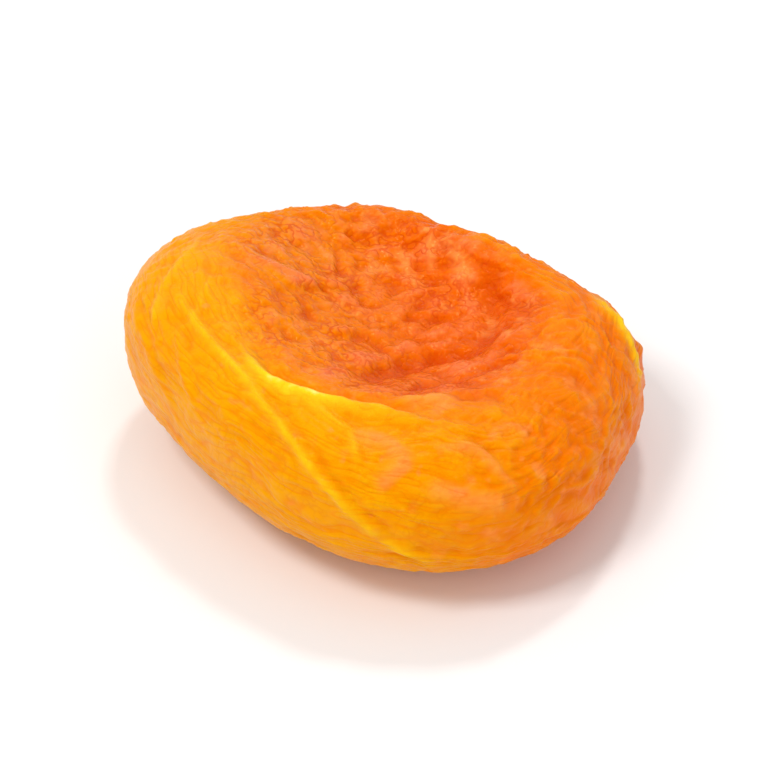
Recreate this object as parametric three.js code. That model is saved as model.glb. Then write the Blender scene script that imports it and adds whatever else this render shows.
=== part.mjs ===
// A dried apricot, whole and stoned: a plump, leathery disc with a wide hollow in its upper face, where the
// flesh sank after the stone was pressed out. It lies on its back, +Z up, with the floor at Z = 0.
// Millimetres. Azimuth is measured about Z from +X (right) through +Y (far side); colatitude runs from 0 at
// the middle of the hollow, over 90 at the widest line of the side wall, to 180 at the middle of the base.
import * as THREE from "three";
import { mergeVertices } from "three/addons/utils/BufferGeometryUtils.js";

// Driving dimensions of the fruit
const PLAN_LONG = 20.84; // half the length of the oval outline
const PLAN_SHORT = 17.8; // half its width
const PLAN_TURN = -34.5; // degrees from +X to the oval's long axis
const PLAN_LOBES = [
  { count: 3, share: -0.0264, phase: 0.655 },
  { count: 4, share: -0.0293, phase: -0.48 },
  { count: 5, share: 0.0178, phase: -1.4 },
];
const EQUATOR_HEIGHT = 7.6; // the side wall's widest line above the floor, in the middle
const EQUATOR_SLOPE = 0.11; // how fast that line falls towards +X, where the fruit is thinner
const SIDE_ROUNDING = 0.86; // below 1 the wall stands steeper than a sphere's
const BASE_ROUNDING = 0.8;
const BASE_SAG = 0.03; // share by which the base would hang below the floor before it is pressed flat
const HOLLOW_CENTRE = { x: 1.1, y: 8.0 }; // the middle of the hollow in plan
const BASE_CENTRE = { x: -1.5, y: -1.5 }; // the middle of the resting spot in plan
const HOLLOW_DEPTH = 5.9;
const HOLLOW_EDGE_POWER = 4; // how soon the hollow's depth dies out above the widest line
const HOLLOW_SKIN = { from: 0.02, to: 0.6 }; // shares of the depth between which the wall's skin gives way
const CROWN_HEIGHT = 8.4; // the unsunk middle of the upper face above the widest line
const RIM_START = 0.5; // share of the way out where the rim has its full height

// Values at every 45 degrees of azimuth, from +X
const HOLLOW_REACH = [0.54, 0.62, 0.76, 0.64, 0.55, 0.66, 0.61, 0.56]; // share of the way to the outline
const HOLLOW_STEEPNESS = [3.0, 2.8, 2.6, 2.5, 2.5, 3.6, 4.2, 3.0];
const RIM_HEIGHT = [8.2, 8.0, 7.9, 8.5, 9.2, 9.2, 9.0, 8.6];
const TOP_ROUNDING = [0.68, 0.8, 0.88, 0.82, 0.72, 0.64, 0.62, 0.64];

// Pinched folds of the skin. A path goes through points given as [azimuth, colatitude]; the groove lies on
// its left, and a negative ridge is a furrow.
const FOLDS = [
  {
    name: "lip of the hollow",
    path: [[-148, 49.5], [-141, 51.2], [-134.5, 52.8], [-129, 52.2], [-121, 50], [-110.5, 47.4], [-101, 46.2],
      [-91, 46.3], [-81, 47]],
    width: 0.9,
    ridge: 0.8,
    groove: 0.45,
  },
  {
    name: "seam",
    path: [[-178, 53], [-170, 53.8], [-159.5, 54.8], [-146.5, 56], [-134.5, 58.4], [-123, 63.6], [-116.5, 69.2],
      [-109.5, 77.2], [-103, 84.6], [-97, 89], [-90, 93], [-84, 101.9], [-79, 111]],
    width: 0.8,
    ridge: 0.3,
    groove: 0.15,
  },
  {
    name: "crease across the hollow",
    path: [[-121, 38], [-113, 33], [-103, 25], [-86, 17.5], [-73, 15.8], [-56, 17.5], [-38, 18.8], [-17, 19.2],
      [1, 18.2], [13, 18.2], [27, 21.5], [37, 28], [45, 34]],
    width: 1.0,
    ridge: -0.55,
    groove: -0.25,
  },
  {
    name: "crease under the lip",
    path: [[-100, 36], [-82, 29], [-62, 27], [-45, 29], [-30, 33]],
    width: 0.9,
    ridge: -0.28,
    groove: -0.1,
  },
  {
    name: "fold on the right shoulder",
    path: [[-42, 26], [-36, 30], [-30, 34], [-24, 38], [-15, 44]],
    width: 0.9,
    ridge: 0.3,
    groove: 0.2,
  },
  {
    name: "fold on the near wall",
    path: [[-74, 48], [-71, 53], [-68.6, 60], [-64.7, 67], [-58, 73]],
    width: 0.8,
    ridge: 0.22,
    groove: 0.16,
  },
];
const FOLD_FADE = 0.22; // share of a fold's length over which each end dies out
const FOLD_OFFSET = 1.7; // widths from the path to the middle of the groove
const FOLD_PIECES = 5; // straight pieces to each point of a path

// The stem end, puckered into a dimple on a low swelling of the wall
const SCAR = {
  azimuth: 19,
  colatitude: 75,
  swellingRadius: 3.4,
  swellingHeight: 0.55,
  dimpleRadius: 1.0,
  dimpleDepth: 0.7,
};

// Relief of the skin. Share on the wall and in the hollow
const SWELLS = [
  { size: 11, height: 0.5, seed: 40, shift: 3 },
  { size: 5.5, height: 0.25, seed: 41, shift: 9 },
];
const SWELL_WALL = 0.5;
const CRUMPLE = { size: 3.4, height: 0.26, seed: 10, wall: 0.3 };
const CRUMPLE_CALM = 0.7; // share by which the left wall is smoother than the rest
const CALM_AZIMUTH = 20; // the roughest side of the wall; the calmest lies opposite
const RING = { step: 8, turns: 3, height: 0.15, seed: 20, bend: 0.9, sharpness: 1.6 }; // long wrinkles
const RING_HOLLOW = 0.15; // share of the long wrinkles' height that is left in the hollow
const RING_CALM = 0.3; // share by which they are lower on the calm left wall
const WARP = { size: 7, reach: 1.6, seeds: [1, 2, 3], shifts: [11, 23, 37] };

// Facets
const PLAN_STEPS = 32;
const WALL_STEPS = 22;
const PROBE = 0.002; // radians, for the slope of the surface
const NOISE_GAIN = 1.6; // brings the noise to about -1 to 1

const rad = THREE.MathUtils.degToRad;
const clamp = THREE.MathUtils.clamp;

/** Rises smoothly from 0 at low to 1 at high. */
const smooth = (x, low, high) => {
  const t = clamp((x - low) / (high - low), 0, 1);
  return t * t * (3 - 2 * t);
};

/** The curve through four equally spaced values, at a share t between the middle two. */
const catmullRom = (a, b, c, d, t) =>
  b + 0.5 * t * (c - a + t * (2 * a - 5 * b + 4 * c - d + t * (3 * (b - c) + d - a)));

/** A value read round the fruit, from a list of values at equal steps of azimuth. */
function around(azimuth, values) {
  const n = values.length;
  const place = (((azimuth / 360) * n) % n + n) % n;
  const i = Math.floor(place);
  const at = (k) => values[(i + k + n) % n];
  return catmullRom(at(-1), at(0), at(1), at(2), place - i);
}

/** A whole number scrambled from a lattice corner. */
function scrambled(i, j, k, seed) {
  let h = Math.imul(i, 73856093) ^ Math.imul(j, 19349663);
  h = h ^ Math.imul(k, 83492791) ^ Math.imul(seed, 374761393);
  h = Math.imul(h ^ (h >>> 16), 2246822507);
  h = Math.imul(h ^ (h >>> 13), 3266489909);
  return (h ^ (h >>> 16)) >>> 0;
}

/** Smooth gradient noise: each lattice corner has a random slope, and the quintic fade blends them. */
function noise(x, y, z, seed) {
  const cell = [Math.floor(x), Math.floor(y), Math.floor(z)];
  const part = [x - cell[0], y - cell[1], z - cell[2]];
  const fade = part.map((f) => f * f * f * (f * (f * 6 - 15) + 10));
  let total = 0;
  for (let corner = 0; corner < 8; corner++) {
    const a = corner & 1;
    const b = (corner >> 1) & 1;
    const c = corner >> 2;
    const h = scrambled(cell[0] + a, cell[1] + b, cell[2] + c, seed);
    const turn = ((h & 0xffff) * 2 * Math.PI) / 65536;
    const up = (h >>> 16) / 32767.5 - 1;
    const flat = Math.sqrt(Math.max(0, 1 - up * up));
    const sideways = flat * Math.cos(turn) * (part[0] - a) + flat * Math.sin(turn) * (part[1] - b);
    const slope = sideways + up * (part[2] - c);
    const weight = (a ? fade[0] : 1 - fade[0]) * (b ? fade[1] : 1 - fade[1]) * (c ? fade[2] : 1 - fade[2]);
    total += weight * slope;
  }
  return total * NOISE_GAIN;
}

/** Noise at a point, with one swell to each size, shifted to another part of the lattice. */
const noiseAt = (p, size, shift, seed) => noise(p.x / size + shift, p.y / size + shift, p.z / size + shift, seed);

/** The unit direction at an azimuth and colatitude. */
const direction = (azimuth, colatitude) => {
  const turn = rad(azimuth);
  const flat = Math.sin(rad(colatitude));
  return new THREE.Vector3(flat * Math.cos(turn), flat * Math.sin(turn), Math.cos(rad(colatitude)));
};

/** Azimuth and colatitude of a unit direction, in degrees. */
const angles = (d) => ({
  azimuth: THREE.MathUtils.radToDeg(Math.atan2(d.y, d.x)),
  colatitude: THREE.MathUtils.radToDeg(Math.acos(clamp(d.z, -1, 1))),
});

/** How far out a direction lies on the way from the middle of a face, 0, to the outline, 1. */
const spread = (colatitude) => Math.sin(rad(colatitude)) ** SIDE_ROUNDING;

/** The share of its full depth that the hollow has at a direction: exp(-(spread / reach)^steepness). */
function sunkShare(d) {
  if (d.z <= 0) return 0;
  const { azimuth, colatitude } = angles(d);
  const place = spread(colatitude) / around(azimuth, HOLLOW_REACH);
  return Math.exp(-(place ** around(azimuth, HOLLOW_STEEPNESS))) * (1 - (1 - d.z) ** HOLLOW_EDGE_POWER);
}

/** The smooth body of the fruit, without its skin relief: the point that a unit direction maps to. */
function body(d) {
  const { azimuth, colatitude } = angles(d);
  const upper = d.z > 0;
  const out = spread(colatitude);
  const steep = Math.abs(d.z);
  const angle = rad(azimuth - PLAN_TURN);
  const lobed = PLAN_LOBES.reduce((sum, l) => sum + l.share * Math.cos(l.count * angle - l.phase), 1);
  const centre = upper ? HOLLOW_CENTRE : BASE_CENTRE;
  const along = PLAN_LONG * out * Math.cos(angle) * lobed;
  const across = PLAN_SHORT * out * Math.sin(angle) * lobed;
  const p = new THREE.Vector3(along, across, 0);
  p.applyAxisAngle(new THREE.Vector3(0, 0, 1), rad(PLAN_TURN));
  p.x += centre.x * (1 - out);
  p.y += centre.y * (1 - out);
  const equator = EQUATOR_HEIGHT - EQUATOR_SLOPE * p.x;
  if (upper) {
    const rim = THREE.MathUtils.lerp(CROWN_HEIGHT, around(azimuth, RIM_HEIGHT), smooth(out, 0, RIM_START));
    p.z = equator + rim * steep ** around(azimuth, TOP_ROUNDING) - HOLLOW_DEPTH * sunkShare(d);
  } else {
    p.z = equator * (1 - (1 + BASE_SAG) * steep ** BASE_ROUNDING);
  }
  return p;
}

/** The body's outward normal at a direction, from its slope over a small step each way. */
function normalAt(d) {
  const aside = Math.abs(d.z) < 0.9 ? new THREE.Vector3(0, 0, 1) : new THREE.Vector3(1, 0, 0);
  const first = new THREE.Vector3().crossVectors(aside, d).normalize();
  const second = new THREE.Vector3().crossVectors(d, first);
  const step = (t, s) => body(d.clone().addScaledVector(t, s * PROBE).normalize());
  const along = step(first, 1).sub(step(first, -1));
  const across = step(second, 1).sub(step(second, -1));
  return along.cross(across).normalize();
}

/** A fold's path as points on the body. */
function foldLine(fold) {
  const marks = fold.path.map(([azimuth, colatitude]) => new THREE.Vector3(azimuth, colatitude, 0));
  const curve = new THREE.CatmullRomCurve3(marks, false, "catmullrom", 0.5);
  return curve.getPoints(marks.length * FOLD_PIECES).map((p) => body(direction(p.x, p.y)));
}

const foldLines = FOLDS.map((fold) => ({ fold, line: foldLine(fold) }));

/** The height that one fold adds at a point with a normal: a ridge along the path, less a groove beside it. */
function foldHeight(fold, line, p, normal) {
  const nearest = { gap: Infinity, side: 1, share: 0 };
  const tangent = new THREE.Vector3();
  const offset = new THREE.Vector3();
  for (let i = 0; i + 1 < line.length; i++) {
    tangent.subVectors(line[i + 1], line[i]);
    offset.subVectors(p, line[i]);
    const t = clamp(offset.dot(tangent) / tangent.lengthSq(), 0, 1);
    offset.addScaledVector(tangent, -t);
    const gap = offset.length();
    if (gap < nearest.gap) {
      nearest.gap = gap;
      nearest.side = Math.sign(tangent.cross(offset).dot(normal));
      nearest.share = (i + t) / (line.length - 1);
    }
  }
  const taper = smooth(nearest.share, 0, FOLD_FADE) * (1 - smooth(nearest.share, 1 - FOLD_FADE, 1));
  const ridge = Math.exp(-((nearest.gap / fold.width) ** 2));
  const groove = Math.exp(-(((nearest.side * nearest.gap) / fold.width - FOLD_OFFSET) ** 2));
  return taper * (fold.ridge * ridge - fold.groove * groove);
}

const scarCentre = body(direction(SCAR.azimuth, SCAR.colatitude));

/** The height that the stem end adds at a point: its swelling less its dimple. */
function scarHeight(p) {
  const gap = p.distanceTo(scarCentre);
  const swelling = Math.exp(-((gap / SCAR.swellingRadius) ** 2));
  const dimple = Math.exp(-((gap / SCAR.dimpleRadius) ** 2));
  return SCAR.swellingHeight * swelling - SCAR.dimpleDepth * dimple;
}

/** The height of the skin's relief at a direction whose body point is p. */
function relief(d, p, normal) {
  const { azimuth, colatitude } = angles(d);
  const turn = rad(azimuth);
  const hollow = smooth(sunkShare(d), HOLLOW_SKIN.from, HOLLOW_SKIN.to);
  const wall = 1 - hollow;
  const calm = (0.5 - 0.5 * Math.cos(rad(azimuth - CALM_AZIMUTH))) * wall;
  const bend = WARP.seeds.map((seed, k) => noiseAt(p, WARP.size, WARP.shifts[k], seed));
  const bent = p.clone().add(new THREE.Vector3(...bend).multiplyScalar(WARP.reach));
  const swell = SWELLS.reduce((sum, s) => sum + s.height * noiseAt(p, s.size, s.shift, s.seed), 0);
  const crumple = CRUMPLE.height * (2 * Math.abs(noiseAt(bent, CRUMPLE.size, 0, CRUMPLE.seed)) - 0.5);
  const place = colatitude / RING.step + RING.bend * bend[0];
  const ring = noise(RING.turns * Math.cos(turn), RING.turns * Math.sin(turn), place, RING.seed);
  const ridged = RING.height * (0.5 - RING.sharpness * Math.abs(ring));
  const ringed = ridged * (RING_HOLLOW + wall) * (1 - RING_CALM * calm);
  const folded = foldLines.reduce((sum, { fold, line }) => sum + foldHeight(fold, line, p, normal), 0);
  const swollen = swell * (SWELL_WALL * wall + hollow);
  const crumpled = crumple * (CRUMPLE.wall * wall + hollow) * (1 - CRUMPLE_CALM * calm);
  return swollen + crumpled + ringed + folded + scarHeight(p);
}

/** The finished skin: the body pushed out by its relief, and pressed flat where it meets the floor. */
function skin(d) {
  const p = body(d);
  const normal = normalAt(d);
  p.addScaledVector(normal, relief(d, p, normal));
  p.z = Math.max(p.z, 0);
  return p;
}

/** A cube's grid blown up into a ball of even squares, then shaped into the fruit. */
function apricotGeometry() {
  const grid = new THREE.BoxGeometry(2, 2, 2, PLAN_STEPS, PLAN_STEPS, WALL_STEPS);
  grid.deleteAttribute("normal");
  grid.deleteAttribute("uv");
  const geometry = mergeVertices(grid, 1e-5);
  const points = geometry.getAttribute("position");
  const d = new THREE.Vector3();
  const even = (t) => Math.tan((t * Math.PI) / 4);
  for (let i = 0; i < points.count; i++) {
    d.fromBufferAttribute(points, i);
    d.set(even(d.x), even(d.y), even(d.z)).normalize();
    points.setXYZ(i, ...skin(d).toArray());
  }
  geometry.clearGroups();
  geometry.computeBoundingBox();
  const middle = geometry.boundingBox.getCenter(new THREE.Vector3());
  geometry.translate(-middle.x, -middle.y, -geometry.boundingBox.min.z);
  geometry.computeVertexNormals();
  return geometry;
}

const flesh = new THREE.MeshStandardMaterial({ color: 0xff9414, roughness: 0.45, metalness: 0 });
const apricot = new THREE.Mesh(apricotGeometry(), flesh);
apricot.name = "apricot";

const part = new THREE.Group();
part.add(apricot);

export default part;
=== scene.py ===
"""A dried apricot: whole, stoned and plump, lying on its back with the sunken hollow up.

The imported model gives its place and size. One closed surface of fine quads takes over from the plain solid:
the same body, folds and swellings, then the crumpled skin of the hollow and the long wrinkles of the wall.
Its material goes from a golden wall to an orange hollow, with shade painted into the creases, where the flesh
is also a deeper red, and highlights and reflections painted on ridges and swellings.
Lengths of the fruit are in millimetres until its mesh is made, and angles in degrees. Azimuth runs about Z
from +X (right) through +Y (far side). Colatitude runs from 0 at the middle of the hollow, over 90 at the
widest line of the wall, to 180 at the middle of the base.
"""
from __future__ import annotations

import logging
import math
from dataclasses import dataclass, field
from enum import Enum
from typing import Any, Callable, ClassVar

import bpy
import numpy as np
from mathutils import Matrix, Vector


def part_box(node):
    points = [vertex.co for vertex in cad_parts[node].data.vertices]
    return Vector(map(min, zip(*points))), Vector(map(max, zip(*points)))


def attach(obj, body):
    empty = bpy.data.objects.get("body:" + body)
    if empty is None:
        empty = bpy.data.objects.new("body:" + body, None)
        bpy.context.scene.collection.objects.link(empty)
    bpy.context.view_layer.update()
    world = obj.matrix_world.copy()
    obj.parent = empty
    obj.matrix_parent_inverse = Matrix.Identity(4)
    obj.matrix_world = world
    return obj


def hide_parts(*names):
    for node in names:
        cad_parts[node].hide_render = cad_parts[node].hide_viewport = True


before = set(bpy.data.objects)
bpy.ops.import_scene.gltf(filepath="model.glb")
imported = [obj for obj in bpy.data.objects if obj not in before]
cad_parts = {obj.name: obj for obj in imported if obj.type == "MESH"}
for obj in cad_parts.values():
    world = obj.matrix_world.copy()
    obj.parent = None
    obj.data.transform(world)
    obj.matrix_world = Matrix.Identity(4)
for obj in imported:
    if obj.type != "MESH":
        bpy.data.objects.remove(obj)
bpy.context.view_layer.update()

log = logging.getLogger("apricot")

Array = np.ndarray
Colour = tuple[float, float, float]
Span = tuple[float, float]
Path = tuple[Span, ...]

MM = 0.001
NODE = "apricot"
BODY = "root"
LIP = "lip of the hollow"

# The noise: multipliers and shifts that scramble its lattice, the bits of half a number, and its height
LATTICE_PRIMES = (73856093, 19349663, 83492791)
SEED_PRIME = 374761393
MIXERS = ((16, 2246822507), (13, 3266489909))
HALF_BITS = 16
HALF_RANGE = 1 << HALF_BITS
NOISE_GAIN = 1.6

# A direction steeper than this takes +X in place of +Z for its first tangent
NEAR_POLE = 0.9

# Directions that agree to this many digits are one point of the grid
JOIN_DIGITS = 7

# A screen's tone curve: where its straight part ends, that part's slope, and the curve's shift and power
STRAIGHT_END, STRAIGHT_SLOPE = 0.04045, 12.92
CURVE_SHIFT, CURVE_POWER = 0.055, 2.4

# Sockets of the Mix node by number, because its kinds of value share their names
MIX_SHARE, MIX_FIRST, MIX_SECOND, MIX_COLOUR = 0, 6, 7, 2


# Small numeric helpers, all on whole arrays


def smooth_step(x: Array, low: float, high: float) -> Array:
    """Rises smoothly from 0 at low to 1 at high: 3t² - 2t³ of the share t between them."""
    share = np.clip((x - low) / (high - low), 0.0, 1.0)
    return share * share * (3.0 - 2.0 * share)


def catmull_rom(a: Array, b: Array, c: Array, d: Array, t: Array) -> Array:
    """The cubic through b and c whose slopes there are those of a to c and of b to d, at the share t."""
    return b + 0.5 * t * (c - a + t * (2 * a - 5 * b + 4 * c - d + t * (3 * (b - c) + d - a)))


def around(azimuth: Array, values: tuple[float, ...]) -> Array:
    """Reads values given at equal steps of azimuth, joined by a closed Catmull-Rom curve.

    Args:
        azimuth: degrees.
        values: one value for each equal step from +X.

    Returns:
        The curve's value at each azimuth.
    """
    count = len(values)
    table = np.array(values)
    place = np.mod(azimuth * count / 360.0, count)
    step = np.floor(place).astype(int)
    near = [table[(step + k) % count] for k in (-1, 0, 1, 2)]
    return catmull_rom(*near, place - step)


def unit(vectors: Array) -> Array:
    """Each row scaled to length 1."""
    return vectors / np.linalg.norm(vectors, axis=1, keepdims=True)


def direction(azimuth: Array, colatitude: Array) -> Array:
    """Unit directions from azimuth and colatitude in degrees."""
    turn, lean = np.radians(azimuth), np.radians(colatitude)
    return np.stack([np.cos(turn) * np.sin(lean), np.sin(turn) * np.sin(lean), np.cos(lean)], axis=1)


def angles(directions: Array) -> tuple[Array, Array]:
    """Azimuth and colatitude of unit directions, in degrees."""
    azimuth = np.degrees(np.arctan2(directions[:, 1], directions[:, 0]))
    return azimuth, np.degrees(np.arccos(np.clip(directions[:, 2], -1.0, 1.0)))


def scrambled(cell: Array, seed: int) -> Array:
    """Scrambles lattice corners: products joined by exclusive or, then mixed twice.

    Args:
        cell: one row of three whole numbers for each corner.
        seed: picks another scramble.

    Returns:
        A 32-bit number for each corner.
    """
    whole = cell.astype(np.uint32)
    mixed = np.full(len(whole), (seed * SEED_PRIME) % 2**32, dtype=np.uint32)
    for axis, prime in enumerate(LATTICE_PRIMES):
        mixed ^= whole[:, axis] * np.uint32(prime)
    for shift, factor in MIXERS:
        mixed = (mixed ^ (mixed >> np.uint32(shift))) * np.uint32(factor)
    return mixed ^ (mixed >> np.uint32(HALF_BITS))


def noise(points: Array, seed: int) -> Array:
    """Smooth gradient noise, about -1 to 1, with one swell to each unit of length.

    Each lattice corner has a random slope direction: its turn comes from the lower half of the scrambled
    number and its rise from the upper half. The value is the sum over a cell's eight corners of the slope's
    height at the point, weighted by the quintic fade 6f⁵ - 15f⁴ + 10f³ of each coordinate.

    Args:
        points: one row of three coordinates for each point.
        seed: picks another noise.

    Returns:
        One value for each point.
    """
    cell = np.floor(points).astype(np.int64)
    part = points - cell
    fade = part**3 * (part * (part * 6.0 - 15.0) + 10.0)
    total = np.zeros(len(points))
    for corner in np.ndindex(2, 2, 2):
        mixed = scrambled(cell + corner, seed)
        turn = (mixed & np.uint32(HALF_RANGE - 1)) * (2.0 * np.pi / HALF_RANGE)
        rise = 2.0 * (mixed >> np.uint32(HALF_BITS)) / (HALF_RANGE - 1) - 1.0
        flat = np.sqrt(np.maximum(0.0, 1.0 - rise * rise))
        slope = np.stack([flat * np.cos(turn), flat * np.sin(turn), rise], axis=1)
        weight = np.prod(np.where(corner, fade, 1.0 - fade), axis=1)
        total += weight * np.sum(slope * (part - corner), axis=1)
    return total * NOISE_GAIN


def creased(points: Array, seed: int) -> Array:
    """Round swellings with sharp valleys between them: twice the size of the noise, less its usual half."""
    return 2.0 * np.abs(noise(points, seed)) - 0.5


def ball_grid(plan_steps: int, wall_steps: int) -> tuple[Array, Array]:
    """A cube's grids blown up into a ball of even quads.

    Each face's parameters run from -1 to 1 through the tangent of up to 45 degrees, which evens the steps,
    and the face's point is scaled to length 1. Points that neighbouring faces share are joined.

    Args:
        plan_steps: quads along each edge of the top and bottom faces.
        wall_steps: quads down each side face.

    Returns:
        Unit directions, and quads of their indices facing outwards.
    """
    def even(steps: int) -> Array:
        """Parameters of one edge."""
        return np.tan(np.linspace(-1.0, 1.0, steps + 1) * np.pi / 4.0)

    one = np.ones_like
    faces: tuple[tuple[Callable[[Array, Array], list[Array]], int], ...] = (
        (lambda u, v: [u, v, one(u)], plan_steps),
        (lambda u, v: [u, -v, -one(u)], plan_steps),
        (lambda u, v: [one(u), u, v], wall_steps),
        (lambda u, v: [-one(u), -u, v], wall_steps),
        (lambda u, v: [-u, one(u), v], wall_steps),
        (lambda u, v: [u, -one(u), v], wall_steps),
    )
    points, quads, start = [], [], 0
    for place, rows in faces:
        v, u = np.meshgrid(even(rows), even(plan_steps), indexing="ij")
        points.append(np.stack(place(u.ravel(), v.ravel()), axis=1))
        index = np.arange(u.size).reshape(u.shape) + start
        corners = [index[:-1, :-1], index[:-1, 1:], index[1:, 1:], index[1:, :-1]]
        quads.append(np.stack(corners, axis=-1).reshape(-1, 4))
        start += u.size
    directions = unit(np.concatenate(points))
    rounded = np.round(directions, JOIN_DIGITS)
    _, first, joined = np.unique(rounded, axis=0, return_index=True, return_inverse=True)
    return directions[first], joined.reshape(-1)[np.concatenate(quads)]


# The fruit's body


@dataclass(frozen=True)
class Lobe:
    """A wave round a turn: how many to a turn, its share of what it changes, and its phase in radians."""

    count: int
    share: float
    phase: float


def waved(angle: Array, lobes: tuple[Lobe, ...]) -> Array:
    """The factor 1 + Σ share · cos(count · angle - phase) at each angle, in radians."""
    return 1.0 + sum(lobe.share * np.cos(lobe.count * angle - lobe.phase) for lobe in lobes)


@dataclass
class Body:
    """The smooth body of the fruit: a round-edged oval disc with a hollow sunk in its upper face.

    Attributes:
        long, short, turn: half axes of the oval outline, and the angle from +X to the long one.
        lobes: waves of the outline.
        equator, slope: height of the widest line in the middle, and its fall towards +X.
        side_power, top_power, base_power: below 1 each makes the edge squarer than a sphere's; the top's
            changes round the azimuth.
        sag: share by which the base hangs below the floor before it is pressed flat.
        hollow, base: middles of the hollow and of the resting spot in plan.
        depth, crown: depth of the hollow, and height of the unsunk face above the widest line.
        crown_end: the spread at which the crown's height has turned into the rim's.
        edge_power: how soon the hollow's depth dies out above the widest line.
        reach, steepness, rim: shape of the hollow's edge and height of the rim, round the azimuth.
    """

    long: float = 20.84
    short: float = 17.8
    turn: float = -34.5
    lobes: tuple[Lobe, ...] = (Lobe(3, -0.0264, 0.655), Lobe(4, -0.0293, -0.48), Lobe(5, 0.0178, -1.40))
    equator: float = 7.6
    slope: float = 0.11
    side_power: float = 0.86
    top_power: tuple[float, ...] = (0.68, 0.80, 0.88, 0.82, 0.72, 0.64, 0.62, 0.64)
    base_power: float = 0.80
    sag: float = 0.03
    hollow: Span = (1.1, 8.0)
    base: Span = (-1.5, -1.5)
    depth: float = 5.9
    crown: float = 8.4
    crown_end: float = 0.5
    edge_power: float = 4.0
    reach: tuple[float, ...] = (0.54, 0.62, 0.76, 0.64, 0.55, 0.66, 0.61, 0.56)
    steepness: tuple[float, ...] = (3.0, 2.8, 2.6, 2.5, 2.5, 3.6, 4.2, 3.0)
    rim: tuple[float, ...] = (8.2, 8.0, 7.9, 8.5, 9.2, 9.2, 9.0, 8.6)

    def spread(self, colatitude: Array) -> Array:
        """How far out a direction lies, from 0 at the middle of a face to 1 at the outline."""
        return np.sin(np.radians(colatitude)) ** self.side_power

    def sunk_share(self, directions: Array) -> Array:
        """The share of its full depth that the hollow has at unit directions.

        That is exp(-(spread / reach)^steepness), which dies out towards the widest line.

        Args:
            directions: unit vectors.

        Returns:
            A share from 0 to 1 for each direction.
        """
        azimuth, colatitude = angles(directions)
        place = self.spread(colatitude) / around(azimuth, self.reach)
        above = np.clip(directions[:, 2], 0.0, 1.0)
        return np.exp(-(place ** around(azimuth, self.steepness))) * (1.0 - (1.0 - above) ** self.edge_power)

    def surface(self, directions: Array) -> Array:
        """Maps unit directions to points of the body.

        In plan the point lies at spread · (long cos a, short sin a), a being the azimuth from the long axis,
        times 1 + Σ share · cos(count · a - phase), and is turned and shifted towards the face's middle.
        The upper face stands rim · |z|^top_power above the equator, less the hollow's depth. The base falls
        from the equator by (1 + sag) · |z|^base_power of its height.

        Args:
            directions: unit vectors.

        Returns:
            Points in millimetres, before the fruit is centred.
        """
        azimuth, colatitude = angles(directions)
        upper = directions[:, 2] > 0.0
        out = self.spread(colatitude)
        steep = np.abs(directions[:, 2])
        angle = np.radians(azimuth - self.turn)
        lobed = waved(angle, self.lobes)
        u, v = self.long * out * np.cos(angle) * lobed, self.short * out * np.sin(angle) * lobed
        cosine, sine = math.cos(math.radians(self.turn)), math.sin(math.radians(self.turn))
        centre = np.where(upper[:, None], self.hollow, self.base) * (1.0 - out)[:, None]
        x = u * cosine - v * sine + centre[:, 0]
        y = u * sine + v * cosine + centre[:, 1]
        equator = self.equator - self.slope * x
        blend = smooth_step(out, 0.0, self.crown_end)
        height = self.crown + (around(azimuth, self.rim) - self.crown) * blend
        rise = height * steep ** around(azimuth, self.top_power)
        top = equator + rise - self.depth * self.sunk_share(directions)
        bottom = equator * (1.0 - (1.0 + self.sag) * steep**self.base_power)
        return np.stack([x, y, np.where(upper, top, bottom)], axis=1)

    def normals(self, directions: Array, probe: float = 0.002) -> Array:
        """Outward unit normals: the cross product of the surface's slopes over a small step each way.

        Args:
            directions: unit vectors.
            probe: length of the step.

        Returns:
            One normal for each direction.
        """
        aside = np.where(np.abs(directions[:, 2:]) < NEAR_POLE, [[0.0, 0.0, 1.0]], [[1.0, 0.0, 0.0]])
        first = unit(np.cross(aside, directions))
        second = np.cross(directions, first)

        def step(tangent: Array) -> Array:
            """The surface's difference over a step each way along a tangent."""
            ahead = self.surface(unit(directions + probe * tangent))
            return ahead - self.surface(unit(directions - probe * tangent))

        return unit(np.cross(step(first), step(second)))


# What lies on the body


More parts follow.
